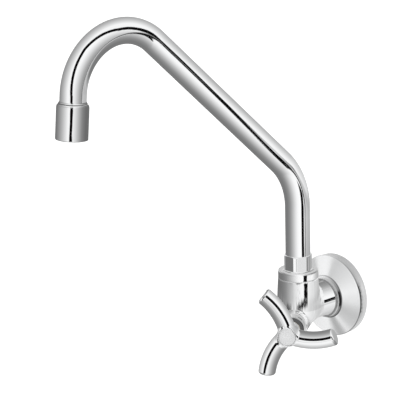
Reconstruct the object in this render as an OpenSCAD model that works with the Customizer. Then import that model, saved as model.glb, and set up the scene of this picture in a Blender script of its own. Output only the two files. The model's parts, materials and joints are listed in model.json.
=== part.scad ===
// Wall-mounted sink tap with a high swivelling swan-neck spout and a
// three-armed quarter-turn handle.
// Millimetres. +Z is up, the wall is the plane Y = 0, the room is on the -Y side.
// The origin is the centre of the wall flange's back face, on the inlet axis.

/* [Inlet and wall flange] */
// Distance from the wall to the swivel axis of the spout
wall_gap = 46; // [44:0.5:60]
// Outer diameter of the parallel pipe thread at the inlet
inlet_thread_d = 20.96; // [20:0.01:21.5]
// Length of the inlet thread behind the wall plane
inlet_thread_len = 16; // [12:0.5:22]
// Bore of the inlet
inlet_bore_d = 13; // [11:0.5:14]
// Outer diameter of the inlet branch of the body
branch_d = 28.6; // [27:0.1:29.4]
// Diameter of the flange's rim at the wall
flange_d = 67; // [62:0.5:76]
// Height of the flange's rim from the wall
flange_rim_h = 8.3; // [6:0.1:10]
// How much the rim grows from the wall to its front edge, in diameter
flange_flare = 1; // [0:0.1:2]
// Height of the whole flange from the wall
flange_h = 17.4; // [16:0.1:20]
// Outer diameter of the flange's neck
flange_neck_d = 32.8; // [32:0.1:36]
// Sheet thickness of the flange
flange_wall = 1.2; // [0.8:0.1:1.8]

/* [Body] */
// Largest diameter of the body, level with the inlet
body_d = 34.4; // [34:0.1:38]
// Diameter of the body's barrel at its top edge
barrel_top_d = 32.4; // [32:0.1:34]
// Height of the seam between body and collar above the inlet axis
seam_z = 24.6; // [23:0.1:27]
// Height of the visible part of the collar
collar_h = 6.7; // [5:0.1:9]
// Bevel between the collar's side and its top face
collar_bevel = 0.7; // [0.3:0.1:1.5]
// Depth of the headwork axis below the inlet axis
headwork_drop = 11; // [9:0.1:12]
// Turn of the headwork axis from straight out of the wall
headwork_turn = 32; // [20:0.5:45]
// Diameter of the boss that carries the headwork
boss_d = 21.8; // [21.2:0.1:25]
// Distance from the swivel axis to the face of the boss
boss_reach = 18.5; // [18:0.1:24]

/* [Swivel joint] */
// Outer diameter of the spout nut's thread
nut_thread_d = 24; // [23.4:0.1:24.6]
// Width of the spout nut across its flats
nut_af = 21.2; // [21:0.1:23]
// Diameter of the circle that rounds the nut's corners
nut_corner_d = 22.9; // [22.4:0.1:25]
// Height of the nut's hexagon
nut_h = 12.7; // [10:0.1:16]
// Diameter of the swivel socket in the body
socket_d = 21.9; // [21:0.1:22.4]
// Diameter of the tailpiece's stem inside the nut
stem_d = 18; // [17:0.1:18.4]
// Section diameter of the tailpiece's O-rings
swivel_ring_d = 1.7; // [1.4:0.1:2]
// Thickness of each glide ring
glide_t = 0.9; // [0.6:0.1:1.2]

/* [Spout] */
// Outer diameter of the spout tube
tube_d = 20; // [19.4:0.1:20.1]
// Wall thickness of the spout tube
tube_wall = 1.2; // [0.8:0.1:1.5]
// Straight riser above the nut
riser_h = 39; // [25:1:80]
// Radius of the lower bend at the tube's centre line
lower_bend_r = 56; // [35:1:80]
// Angle of the lower bend
lower_bend_a = 47; // [30:1:60]
// Straight slanting run
slant_len = 168; // [110:1:220]
// Radius of the upper bend at the tube's centre line
upper_bend_r = 45; // [35:1:60]
// Angle of the upper bend
upper_bend_a = 128; // [110:1:140]
// Straight tube between the upper bend and the outlet shell
outlet_straight = 4.5; // [2:0.5:20]
// Turn of the spout from straight out of the wall, as it stands at rest
spout_turn = 5; // [-20:1:20]

/* [Outlet] */
// Outer diameter of the outlet shell
shell_d = 24.4; // [24.4:0.1:27]
// Length of the outlet shell
shell_len = 28.5; // [27:0.5:36]
// Height of the flare between the tube and the shell's straight wall
shell_flare_h = 3.8; // [3:0.1:6]
// Radius of the shell's shoulder
shoulder_r = 1.6; // [1:0.1:2]
// Outer diameter of the aerator casing's thread
aerator_d = 21.5; // [20.5:0.1:21.8]
// Width of one cell of the flow straightener
cell_w = 2.6; // [2:0.1:4]

/* [Headwork] */
// Outer diameter of the headwork housing's thread
headwork_thread_d = 16.6; // [16:0.1:17]
// Diameter of the ceramic discs
disc_d = 12.8; // [12:0.1:13]
// Thickness of each ceramic disc
disc_t = 2.9; // [2.5:0.1:3]
// Diameter of the spindle in the housing
spindle_d = 10; // [9.4:0.1:10.2]
// Outer diameter of the spindle's spline
spline_d = 7.8; // [7.4:0.1:8]
// Outer diameter of the shroud
shroud_d = 19.2; // [19:0.1:21]
// Distance from the swivel axis to the shroud's front
shroud_reach = 26; // [25.6:0.1:28]

/* [Handle] */
// Distance from the swivel axis to the plane of the arms
arm_plane = 42; // [41:0.5:50]
// Diameter of each arm
arm_d = 14; // [12.4:0.1:15]
// Distance from the handle's axis to the end of an arm
arm_reach = 38; // [30:0.5:50]
// Radius of each arm's curve at its centre line
arm_curve_r = 51; // [40:1:80]
// Direction of the first arm's end, up from level
arm_angle = 2; // [-60:1:60]
// Rounding of the arm's end
arm_edge_r = 2.2; // [1:0.1:4]
// Diameter of the handle's hub
hub_d = 16.4; // [16:0.1:19]
// Diameter of the index button
button_d = 13.7; // [12:0.1:13.8]

/* [Hidden] */
$fn = 96;
ARMS = 3;
slack = 0.05;        // radial slack of threads and running fits
run_gap = 0.1;       // axial gap between faces that slide on each other
free_gap = 0.3;      // gap between moving and fixed pieces that never touch
over = 1;            // how far a cut runs past the face that it opens

// Inlet side, as distances from the wall plane
neck_bore_d = branch_d + 4 * slack;
branch_end = 11;             // the branch stops this far from the wall
inlet_neck_d = inlet_thread_d - 1.2;
flange_ring_section = 1.3;   // section diameter of the flange's O-ring
flange_ring_y = 14.8;        // its distance from the wall
neck_base = flange_h - 2.8;  // where the flange's straight neck begins
neck_fillet = 1.8;
rim_edge = 0.8;

// Heights in the swivel joint
collar_top = seam_z + collar_h;
nut_top = collar_top + nut_h;
socket_bottom = 9;
step_z = 17.5;                               // the ledge under the lower glide ring
swivel_flange_t = 1.9;
swivel_flange_z = step_z + glide_t + 2 * run_gap;
swivel_flange_top = swivel_flange_z + swivel_flange_t;
upper_glide_z = swivel_flange_top + run_gap;
nut_thread_z = upper_glide_z + glide_t + run_gap;
collar_bore_d = nut_thread_d + 2 * slack;
collar_spigot_d = nut_thread_d + 3.8;
swivel_flange_d = collar_bore_d - 2 * free_gap;
tail_d = socket_d - 4 * slack;
ring_groove_d = socket_d - 2 * slack - 2 * swivel_ring_d;
tube_foot = nut_top - 3;                     // where the tube stands on the stem
tail_bore_d = inlet_bore_d;
tail_foot = socket_bottom + 2 * free_gap;
ring_pitch = 4.2;
spigot_len = 8;
tube_bore_d = tube_d - 2 * tube_wall;

// Headwork, as distances from the swivel axis along the headwork axis
seat_s = 4;
seal_t = 1.7;
fixed_disc_s = seat_s + seal_t;
turning_disc_s = fixed_disc_s + disc_t + run_gap;
foot_s = turning_disc_s + disc_t + run_gap;
foot_t = 2.5;
drive_len = 9;               // the tab that turns the upper disc
drive_w = 2.2;
drive_h = 1;
bore_s = foot_s + foot_t + run_gap;          // inner end of the spindle's bore
disc_room_d = disc_d + 2 * run_gap;
disc_rim = 1.8;              // closed rim outside the fixed disc's ports
PORT_SPAN = 80;
port_bore_d = headwork_thread_d + 2 * slack;
relief_d = headwork_thread_d - 1;
gasket_t = 0.8;
hex_s = boss_reach + gasket_t;
hex_t = 2.5;
hex_corner_d = headwork_thread_d + 0.8;
neck_d = spindle_d + 2.4;
neck_end = shroud_reach;
spindle_bore_d = spindle_d + 2 * slack;
window_s = turning_disc_s;
stop_len = 1.5;              // length of the spindle's stop lug
stop_s = neck_end - stop_len;
lug_span = 60;
turn_range = 90;
lug_margin = 1.5;
spindle_ring_section = 1;
spindle_ring_s = [17, 20];
circlip_t = 0.8;
circlip_groove_d = spindle_d - 1.4;
spindle_end = neck_end + 1.3;
spline_end = arm_plane - 1.5;
SPLINE_TEETH = 20;
spline_depth = 0.4;

// Handle, on the same axis
hub_back = shroud_reach + 1.5;
hub_back_d = 13.2;
web_s = spline_end + free_gap;
web_t = 1.5;
recess_s = web_s + web_t;
button_rim = arm_plane + arm_d / 2 - 1;
button_dome = 1;
screw_d = 3.9;
screw_head_d = 7;
screw_head_t = 2.4;
screw_depth = 9;

// Outlet, as distances along the outflow from the shell's top
tube_seat = 11.5;
shell_lip_t = 1.5;
socket_u = tube_seat + shell_lip_t;
washer_t = 1.5;
casing_u = socket_u + washer_t;
casing_end = shell_len - 0.8;
casing_bore_d = aerator_d - 2.3;
core_d = casing_bore_d - 2 * slack;
core_t = 3;
screen_u = casing_u + core_t + 1.6;
screen_t = 0.5;
SCREEN_PITCH = 2.1;          // the screen's mesh, coarser than the real one
SCREEN_WIRE = 0.7;
straightener_u = screen_u + screen_t + 1.4;
lip_t = 1;
straightener_t = casing_end - lip_t - straightener_u;
cell_wall = 0.5;
shell_bore_d = aerator_d + 2 * slack;

// ---- frames ----

module at_swivel() translate([0, -wall_gap, 0]) children();

// Local +Z points from the wall into the room.
module out_of_wall() rotate([90, 0, 0]) children();

// Local +Z runs out along the headwork axis, from the swivel axis.
module at_headwork() {
    translate([0, -wall_gap, -headwork_drop])
        rotate([90, 0, headwork_turn]) children();
}

// Local +X is the direction in which the spout reaches out.
module at_spout() at_swivel() rotate([0, 0, -90 - spout_turn]) children();

// ---- shared shapes ----

module ring(d_out, d_in, h) {
    difference() {
        cylinder(d = d_out, h = h);
        translate([0, 0, -over]) cylinder(d = d_in, h = h + 2 * over);
    }
}

// An O-ring whose section touches a groove of diameter d_groove.
module o_ring(d_groove, section) {
    rotate_extrude()
        translate([(d_groove + section) / 2, 0]) circle(d = section, $fn = 32);
}

// A wedge of span degrees, centred on local +X.
module wedge(radius, span, h) {
    reach = 1.5 * radius;
    linear_extrude(height = h)
        polygon([[0, 0],
            for (i = [0 : 4]) let (a = span * (i / 4 - 0.5)) reach * [cos(a), sin(a)]]);
}

// The part of a torus between the angles a0 and a1.
module torus_part(radius, d, a0, a1) {
    intersection() {
        rotate_extrude() translate([radius, 0]) circle(d = d, $fn = 64);
        rotate([0, 0, (a0 + a1) / 2]) translate([0, 0, -d])
            wedge(radius + d, a1 - a0, 2 * d);
    }
}

// Points of an arc about centre, from angle a0 to a1.
function arc(centre, radius, a0, a1, steps) =
    [for (i = [0 : steps]) let (a = a0 + (a1 - a0) * i / steps)
        centre + radius * [cos(a), sin(a)]];

// ---- the body and what is fixed to it ----

// Radius of the barrel at height z above the inlet axis.
function barrel_r(z) = (body_d - (body_d - barrel_top_d) * pow(z / seam_z, 2)) / 2;

module body_outside() {
    seam = 0.25;
    at_swivel() {
        rotate_extrude()
            polygon([[0, 0], [body_d / 2, 0],
                for (i = [1 : 8]) let (z = (seam_z - seam) * i / 8) [barrel_r(z), z],
                [barrel_top_d / 2 - seam, seam_z], [0, seam_z]]);
        sphere(d = body_d);
    }
    out_of_wall() {
        translate([0, 0, branch_end])
            cylinder(d = branch_d, h = wall_gap - branch_end);
        cylinder(d = inlet_neck_d, h = branch_end + over);
        translate([0, 0, -inlet_thread_len])
            cylinder(d = inlet_thread_d, h = inlet_thread_len);
    }
    at_headwork() {
        back = 4;
        translate([0, 0, -back]) {
            sphere(d = boss_d);
            cylinder(d = boss_d, h = boss_reach + back);
        }
    }
}

// The waterway: in from the wall, down to the headwork, through its discs and up to
// the spout's socket. Distances ending in _s run along the headwork axis.
module body_cavities() {
    drop_s = -6;
    drop_d = 10;
    riser_s = 7;
    riser_d = 7.6;
    port_d = 8;
    bore_back = 8;
    out_of_wall()
        translate([0, 0, -inlet_thread_len - over])
            cylinder(d = inlet_bore_d, h = inlet_thread_len + over + wall_gap - bore_back);
    at_headwork() {
        translate([0, 0, seat_s]) cylinder(d = port_bore_d, h = boss_reach);
        translate([0, 0, drop_s]) cylinder(d = port_d, h = seat_s - drop_s + over);
        translate([0, 0, drop_s]) rotate([-90, 0, 0]) cylinder(d = drop_d, h = headwork_drop);
        translate([0, 0, riser_s]) rotate([-90, 0, 0])
            cylinder(d = riser_d, h = headwork_drop + socket_bottom + over);
    }
    at_swivel() {
        translate([0, 0, socket_bottom]) cylinder(d = socket_d, h = seam_z);
        translate([0, 0, step_z]) cylinder(d = collar_spigot_d + 2 * slack, h = seam_z);
    }
}

module valve_body() {
    groove_w = flange_ring_section + 0.5;
    color("silver") difference() {
        body_outside();
        body_cavities();
        out_of_wall() translate([0, 0, flange_ring_y - groove_w / 2])
            ring(branch_d + 2 * over, neck_bore_d - 2 * flange_ring_section, groove_w);
    }
}

module body_collar() {
    seam = 0.25;
    color("gainsboro") at_swivel() difference() {
        rotate_extrude() polygon([
            [0, step_z + glide_t], [0, collar_top],
            [barrel_top_d / 2 - collar_bevel, collar_top],
            [barrel_top_d / 2, collar_top - collar_bevel],
            [barrel_top_d / 2, seam_z + seam], [barrel_top_d / 2 - seam, seam_z],
            [collar_spigot_d / 2, seam_z], [collar_spigot_d / 2, step_z + glide_t]]);
        translate([0, 0, step_z]) cylinder(d = collar_bore_d, h = collar_top);
    }
}

module spout_nut() {
    lip = 3.5;   // depth of the counterbore that takes the tube's end
    color("silver") at_swivel() difference() {
        union() {
            translate([0, 0, collar_top]) intersection() {
                cylinder(d = nut_af / cos(30), h = nut_h, $fn = 6);
                cylinder(d = nut_corner_d, h = nut_h);
            }
            translate([0, 0, nut_thread_z]) cylinder(d = nut_thread_d, h = collar_top - nut_thread_z);
        }
        cylinder(d = stem_d + 2 * slack, h = nut_top + over);
        translate([0, 0, nut_top - lip]) cylinder(d = tube_d + 2 * slack, h = lip + over);
    }
}

module upper_glide_ring() {
    color("white") at_swivel() translate([0, 0, upper_glide_z])
        ring(collar_bore_d - 2 * slack, stem_d + 4 * slack, glide_t);
}

module lower_glide_ring() {
    color("white") at_swivel() translate([0, 0, step_z])
        ring(collar_bore_d - 2 * slack, socket_d + 2 * slack, glide_t);
}

// A cup open to the wall, drawn as [radius, distance from the wall].
module wall_flange() {
    rim_r = flange_d / 2;
    front_r = (flange_d + flange_flare) / 2;
    neck_r = flange_neck_d / 2;
    cone_r = neck_r + neck_fillet;
    cone_h = neck_base - neck_fillet;
    neck_edge = 0.4;
    inner_step = cone_h - flange_wall;
    color("gainsboro") out_of_wall() rotate_extrude() polygon(concat(
        [[rim_r, 0], [front_r, flange_rim_h - rim_edge]],
        arc([front_r - rim_edge, flange_rim_h - rim_edge], rim_edge, 15, 75, 4),
        arc([cone_r, neck_base], neck_fillet, 255, 180, 6),
        [[neck_r, flange_h - neck_edge], [neck_r - neck_edge, flange_h],
         [neck_bore_d / 2, flange_h], [neck_bore_d / 2, inner_step],
         [cone_r, inner_step], [front_r - 2 * flange_wall, flange_rim_h - flange_wall],
         [rim_r - flange_wall, flange_rim_h - 2 * flange_wall], [rim_r - flange_wall, 0]]));
}

module flange_o_ring() {
    color("black") out_of_wall() translate([0, 0, flange_ring_y])
        o_ring(neck_bore_d - 2 * flange_ring_section, flange_ring_section);
}

module headwork_housing() {
    window_w = 7;
    thread_end = boss_reach - 1;
    color("goldenrod") at_headwork() difference() {
        union() {
            translate([0, 0, fixed_disc_s])
                cylinder(d = relief_d, h = hex_s - fixed_disc_s);
            translate([0, 0, foot_s])
                cylinder(d = headwork_thread_d, h = thread_end - foot_s);
            translate([0, 0, hex_s]) cylinder(d = hex_corner_d, h = hex_t, $fn = 6);
            translate([0, 0, hex_s]) cylinder(d = neck_d, h = neck_end - hex_s);
        }
        translate([0, 0, fixed_disc_s - over])
            cylinder(d = disc_room_d, h = bore_s - fixed_disc_s + over);
        cylinder(d = spindle_bore_d, h = neck_end + over);
        translate([-hex_corner_d / 2, -window_w / 2, window_s])
            cube([hex_corner_d, window_w, disc_t]);
        translate([0, 0, stop_s - run_gap]) intersection() {
            ring(neck_d + 2 * over, spindle_d - over, stop_len + over);
            rotate([0, 0, turn_range / 2])
                wedge(neck_d, turn_range + lug_span + 2 * lug_margin, stop_len + over);
        }
    }
}

module headwork_gasket() {
    color("black") at_headwork() translate([0, 0, boss_reach])
        ring(hex_corner_d, relief_d + 2 * slack, gasket_t);
}

module headwork_shroud() {
    wall = 0.75;
    front = 1.4;
    edge = 0.8;
    back = boss_reach + run_gap;
    color("dimgray") at_headwork() rotate_extrude() polygon(concat(
        [[shroud_d / 2 - wall, back], [shroud_d / 2, back]],
        arc([shroud_d / 2 - edge, shroud_reach - edge], edge, 0, 90, 4),
        [[neck_d / 2 + slack, shroud_reach], [neck_d / 2 + slack, shroud_reach - front],
         [shroud_d / 2 - wall, shroud_reach - front]]));
}

module seat_seal() {
    seal_bore_d = port_bore_d / 2;
    color("black") at_headwork() translate([0, 0, seat_s])
        ring(disc_d - 2 * run_gap, seal_bore_d, seal_t);
}

// A ceramic disc with two opposite ports out to the diameter port_out.
module ported_disc(d, port_out) {
    hub_d = 3;
    difference() {
        cylinder(d = d, h = disc_t);
        for (a = [0, 180]) translate([0, 0, -over]) rotate([0, 0, a]) intersection() {
            ring(port_out, hub_d, disc_t + 2 * over);
            wedge(port_out, PORT_SPAN, disc_t + 2 * over);
        }
    }
}

module fixed_disc() {
    color("ivory") at_headwork() translate([0, 0, fixed_disc_s])
        ported_disc(disc_d, disc_d - 2 * disc_rim);
}

// ---- the spout and what turns with it ----

// A bent piece of tube, from heading +Z towards +X.
module tube_bend(bend_r, a) {
    translate([bend_r, 0, 0]) rotate([90, 0, 0]) difference() {
        torus_part(bend_r, tube_d, 180 - a, 180);
        rotate_extrude() translate([bend_r, 0]) circle(d = tube_bore_d, $fn = 64);
    }
}

module tube_straight(h) {
    ring(tube_d, tube_bore_d, h);
    tube_weld();
}

// A sleeve inside the wall that joins two runs of tube end to end.
module tube_weld() {
    mid = (tube_d + tube_bore_d) / 2;
    translate([0, 0, -over]) ring(mid + tube_wall / 3, mid - tube_wall / 3, 2 * over);
}

module after_bend(bend_r, a) {
    translate([bend_r * (1 - cos(a)), 0, bend_r * sin(a)]) rotate([0, a, 0]) children();
}

// Local +Z is the outflow, from the top of the outlet shell.
module at_outlet() {
    at_spout() translate([0, 0, nut_top + riser_h])
        after_bend(lower_bend_r, lower_bend_a) translate([0, 0, slant_len])
            after_bend(upper_bend_r, upper_bend_a)
                translate([0, 0, outlet_straight]) children();
}

module spout_tube() {
    color("silver") {
        at_swivel() translate([0, 0, tube_foot])
            ring(tube_d, tube_bore_d, nut_top + riser_h - tube_foot);
        at_spout() translate([0, 0, nut_top + riser_h]) {
            tube_weld();
            tube_bend(lower_bend_r, lower_bend_a);
            after_bend(lower_bend_r, lower_bend_a) {
                tube_straight(slant_len);
                translate([0, 0, slant_len]) {
                    tube_weld();
                    tube_bend(upper_bend_r, upper_bend_a);
                }
            }
        }
        at_outlet() translate([0, 0, -outlet_straight])
            tube_straight(outlet_straight + tube_seat);
    }
}

module spout_tailpiece() {
    groove_w = swivel_ring_d + 0.5;
    color("goldenrod") at_swivel() difference() {
        union() {
            translate([0, 0, tail_foot]) cylinder(d = tail_d, h = swivel_flange_z - tail_foot);
            translate([0, 0, swivel_flange_z]) cylinder(d = swivel_flange_d, h = swivel_flange_t);
            translate([0, 0, swivel_flange_z]) cylinder(d = stem_d, h = tube_foot - swivel_flange_z);
            translate([0, 0, tube_foot]) cylinder(d = tube_bore_d - 2 * slack, h = spigot_len);
        }
        cylinder(d = tail_bore_d, h = nut_top + spigot_len);
        for (z = ring_heights()) translate([0, 0, z - groove_w / 2])
            ring(socket_d + over, ring_groove_d, groove_w);
    }
}

// Heights of the two O-rings on the tailpiece.
function ring_heights() = [for (k = [0.5, 1.5]) tail_foot + k * ring_pitch];

module tailpiece_o_rings() {
    color("black") at_swivel()
        for (z = ring_heights()) translate([0, 0, z]) o_ring(ring_groove_d, swivel_ring_d);
}

module outlet_shell() {
    mouth_edge = 0.8;
    outer_r = shell_d / 2;
    tube_r = tube_d / 2 + slack;
    flare_lip = 0.15;
    shoulder_turn = 50;   // the shoulder's arc, from the flare to the straight wall
    color("silver") at_outlet() rotate_extrude() polygon(concat(
        [[tube_r, 0], [tube_r + flare_lip, 0]],
        arc([outer_r - shoulder_r, shell_flare_h], shoulder_r, -shoulder_turn, 0, 4),
        arc([outer_r - mouth_edge, shell_len - mouth_edge], mouth_edge, 0, 60, 3),
        [[shell_bore_d / 2, shell_len], [shell_bore_d / 2, socket_u],
         [tube_bore_d / 2, socket_u], [tube_bore_d / 2, tube_seat], [tube_r, tube_seat]]));
}

module aerator_washer() {
    color("black") at_outlet() translate([0, 0, socket_u])
        ring(aerator_d - 4 * slack, tube_bore_d - 2, washer_t);
}

module aerator_casing() {
    key_w = 2.4;
    casing_lip = 0.8;
    color("silver") at_outlet() difference() {
        translate([0, 0, casing_u]) cylinder(d = aerator_d, h = casing_end - casing_u);
        translate([0, 0, casing_u - over])
            cylinder(d = casing_bore_d, h = casing_end - lip_t - casing_u + over);
        translate([0, 0, casing_u]) cylinder(d = casing_bore_d - 2 * casing_lip, h = shell_len);
        for (a = [0, 90]) rotate([0, 0, a])
            translate([-aerator_d, -key_w / 2, casing_end - lip_t])
                cube([2 * aerator_d, key_w, lip_t + over]);
    }
}

module aerator_core() {
    HOLES = 10;
    hole_d = 1.4;
    circle_r = 0.36 * core_d;
    color("white") at_outlet() translate([0, 0, casing_u]) difference() {
        cylinder(d = core_d, h = core_t);
        for (i = [0 : HOLES - 1]) rotate([0, 0, i * 360 / HOLES])
            translate([circle_r, 0, -over]) cylinder(d = hole_d, h = core_t + 2 * over, $fn = 24);
    }
}

// Bars of a square grid across a disc of diameter d.
module grid_disc(d, pitch, bar, h) {
    n = floor((d - 2 * bar) / 2 / pitch);
    intersection() {
        cylinder(d = d, h = h);
        union() {
            ring(d + over, d - 2 * bar, h);
            for (k = [-n : n]) {
                translate([k * pitch - bar / 2, -d / 2, 0]) cube([bar, d, h]);
                translate([-d / 2, k * pitch - bar / 2, 0]) cube([d, bar, h]);
            }
        }
    }
}

module aerator_screen() {
    color("lightgray") at_outlet() translate([0, 0, screen_u])
        grid_disc(core_d, SCREEN_PITCH, SCREEN_WIRE, screen_t);
}

module flow_straightener() {
    color("white") at_outlet() translate([0, 0, straightener_u])
        grid_disc(core_d, cell_w, cell_wall, straightener_t);
}

// ---- the handle and what turns with it ----

module spline(d, h) {
    linear_extrude(height = h) polygon([
        for (i = [0 : 2 * SPLINE_TEETH - 1])
            let (r = d / 2 - (i % 2) * spline_depth, a = i * 180 / SPLINE_TEETH)
            r * [cos(a), sin(a)]]);
}

// One arm, its end on local +X. Its curve passes through the hub's centre, but the
// arm starts a little outside it, so that the three arms never share an edge.
module handle_arm() {
    half = asin(arm_reach / 2 / arm_curve_r);
    cap = arm_edge_r / arm_curve_r * 180 / PI;
    start = hub_d / 5 / arm_curve_r * 180 / PI;
    flat_r = arm_d / 2 - arm_edge_r;
    translate([arm_reach / 2, arm_curve_r * cos(half), 0]) {
        torus_part(arm_curve_r, arm_d, start - 90 - half, half - cap - 90);
        rotate([0, 0, half - cap - 90]) translate([arm_curve_r, 0, 0]) rotate([-90, 0, 0])
            rotate_extrude($fn = 64) polygon(concat([[0, -over], [flat_r, -over], [flat_r, 0]],
                arc([flat_r, 0], arm_edge_r, 0, 90, 6), [[0, arm_edge_r]]));
    }
}

// The turned hub, flared from its back to the arms.
module handle_hub() {
    edge = 0.5;
    flare_end = arm_plane - arm_d / 2 + over;
    rim_h = 2;   // straight rim behind the flare
    flare_start = hub_back + rim_h;
    FLARE_STEPS = 6;
    rotate_extrude() polygon([
        [0, hub_back], [hub_back_d / 2 - edge, hub_back], [hub_back_d / 2, hub_back + edge],
        for (i = [0 : FLARE_STEPS]) let (t = i / FLARE_STEPS)
            [hub_back_d / 2 + (hub_d - hub_back_d) / 4 * (1 - cos(180 * t)),
             flare_start + (flare_end - flare_start) * t],
        [hub_d / 2, button_rim - edge], [hub_d / 2 - edge, button_rim], [0, button_rim]]);
}

// The hub with its first n arms, joined one after another.
module hub_with_arms(n) {
    if (n == 0) handle_hub();
    else union() {
        hub_with_arms(n - 1);
        translate([0, 0, arm_plane]) rotate([0, 0, arm_angle + n * 360 / ARMS]) handle_arm();
    }
}

module handle() {
    color("silver") at_headwork() difference() {
        hub_with_arms(ARMS);
        translate([0, 0, hub_back - over]) spline(spline_d + 2 * slack, web_s - hub_back + over);
        cylinder(d = screw_d + 4 * slack, h = arm_plane + arm_d);
        translate([0, 0, recess_s]) cylinder(d = button_d + 4 * slack, h = arm_d);
    }
}

module spindle() {
    groove_w = spindle_ring_section + 0.3;
    tab = [drive_len, drive_w, drive_h];
    color("goldenrod") at_headwork() difference() {
        union() {
            translate([0, 0, foot_s]) cylinder(d = disc_room_d - 2 * free_gap, h = foot_t);
            translate([0, 0, foot_s]) cylinder(d = spindle_d, h = spindle_end - foot_s);
            translate([0, 0, spindle_end - over])
                spline(spline_d, spline_end - spindle_end + over);
            translate([-tab.x / 2, -tab.y / 2, foot_s - tab.z]) cube(tab);
            translate([0, 0, stop_s]) intersection() {
                cylinder(d = neck_d - 2 * run_gap, h = stop_len - run_gap);
                wedge(neck_d, lug_span, stop_len - run_gap);
            }
        }
        for (s = spindle_ring_s) translate([0, 0, s - groove_w / 2])
            ring(spindle_d + over, spindle_d - 2 * spindle_ring_section, groove_w);
        translate([0, 0, neck_end + slack])
            ring(spindle_d + over, circlip_groove_d, circlip_t + slack);
        translate([0, 0, spline_end - screw_depth - over])
            cylinder(d = screw_d + 2 * slack, h = screw_depth + 2 * over);
    }
}

module spindle_o_rings() {
    color("black") at_headwork() for (s = spindle_ring_s)
        translate([0, 0, s]) o_ring(spindle_d - 2 * spindle_ring_section, spindle_ring_section);
}

module spindle_circlip() {
    mouth = 50;   // angle of the clip's opening
    color("dimgray") at_headwork() translate([0, 0, neck_end + slack]) difference() {
        ring(neck_d - 2 * run_gap, circlip_groove_d, circlip_t);
        translate([0, 0, -over]) rotate([0, 0, 180]) wedge(neck_d, mouth, circlip_t + 2 * over);
    }
}

module turning_disc() {
    slot = [drive_len + 4 * run_gap, drive_w + 2 * run_gap, drive_h];
    color("white") at_headwork() translate([0, 0, turning_disc_s]) difference() {
        rotate([0, 0, turn_range]) ported_disc(disc_d - 2 * run_gap, disc_d + 2 * over);
        translate([-slot.x / 2, -slot.y / 2, disc_t - slot.z + run_gap])
            cube([slot.x, slot.y, slot.z + over]);
    }
}

module handle_screw() {
    key_af = 2.5;
    color("lightgray") at_headwork() difference() {
        union() {
            translate([0, 0, spline_end - screw_depth])
                cylinder(d = screw_d, h = recess_s - spline_end + screw_depth);
            translate([0, 0, recess_s]) cylinder(d = screw_head_d, h = screw_head_t);
        }
        translate([0, 0, recess_s + screw_head_t / 2])
            cylinder(d = key_af / cos(30), h = screw_head_t, $fn = 6);
    }
}

module index_button() {
    skirt_s = recess_s + 0.2;
    plate_s = button_rim - 2.2;
    wall = 1.1;
    r = button_d / 2;
    dome_r = (r * r + button_dome * button_dome) / 2 / button_dome;
    edge_a = asin(r / dome_r);
    color("gainsboro") at_headwork() rotate_extrude() polygon(concat(
        [[0, plate_s], [r - wall, plate_s], [r - wall, skirt_s], [r, skirt_s]],
        arc([0, button_rim + button_dome - dome_r], dome_r, 90 - edge_a, 90, 8)));
}

valve_body();
body_collar();
spout_nut();
upper_glide_ring();
lower_glide_ring();
wall_flange();
flange_o_ring();
headwork_housing();
headwork_gasket();
headwork_shroud();
seat_seal();
fixed_disc();
spout_tube();
spout_tailpiece();
tailpiece_o_rings();
outlet_shell();
aerator_washer();
aerator_casing();
aerator_core();
aerator_screen();
flow_straightener();
handle();
spindle();
spindle_o_rings();
spindle_circlip();
turning_disc();
handle_screw();
index_button();
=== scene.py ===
# %% [markdown]
# # A wall-mounted sink tap in polished chrome
#
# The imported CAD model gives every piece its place. Here each piece that shows gets the
# form and the finish of the real one: a bent tube, a blended casting, turned rings, a
# three-armed handle, and the plating that covers them all.

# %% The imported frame
import json
import math

import bmesh
import bpy
import numpy as np
from mathutils import Matrix, Vector

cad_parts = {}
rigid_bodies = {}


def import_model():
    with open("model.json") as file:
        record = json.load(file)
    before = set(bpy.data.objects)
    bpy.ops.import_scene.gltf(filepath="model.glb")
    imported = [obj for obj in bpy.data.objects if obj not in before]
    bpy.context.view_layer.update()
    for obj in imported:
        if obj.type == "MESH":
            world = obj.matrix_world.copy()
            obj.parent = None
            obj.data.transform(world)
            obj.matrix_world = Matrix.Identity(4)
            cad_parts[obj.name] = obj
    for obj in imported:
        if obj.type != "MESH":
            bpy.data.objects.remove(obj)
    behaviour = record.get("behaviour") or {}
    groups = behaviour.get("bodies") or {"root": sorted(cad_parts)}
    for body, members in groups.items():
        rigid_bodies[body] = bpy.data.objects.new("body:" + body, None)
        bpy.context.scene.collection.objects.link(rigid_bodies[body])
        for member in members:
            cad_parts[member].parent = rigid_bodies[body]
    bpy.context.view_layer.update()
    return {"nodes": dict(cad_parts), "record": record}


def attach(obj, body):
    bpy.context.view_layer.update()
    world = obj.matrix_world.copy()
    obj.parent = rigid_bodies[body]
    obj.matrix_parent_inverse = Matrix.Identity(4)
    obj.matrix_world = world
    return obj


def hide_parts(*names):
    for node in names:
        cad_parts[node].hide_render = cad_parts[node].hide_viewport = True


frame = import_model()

MM = 0.001

# %% [markdown]
# ## Where things are
#
# The tap has four frames: the wall, the upright swivel axis, the headwork axis that
# carries the handle, and the outlet at the end of the spout. The sizes repeat those of
# the CAD source, in millimetres, because a made piece has to sit where its solid is.

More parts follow.
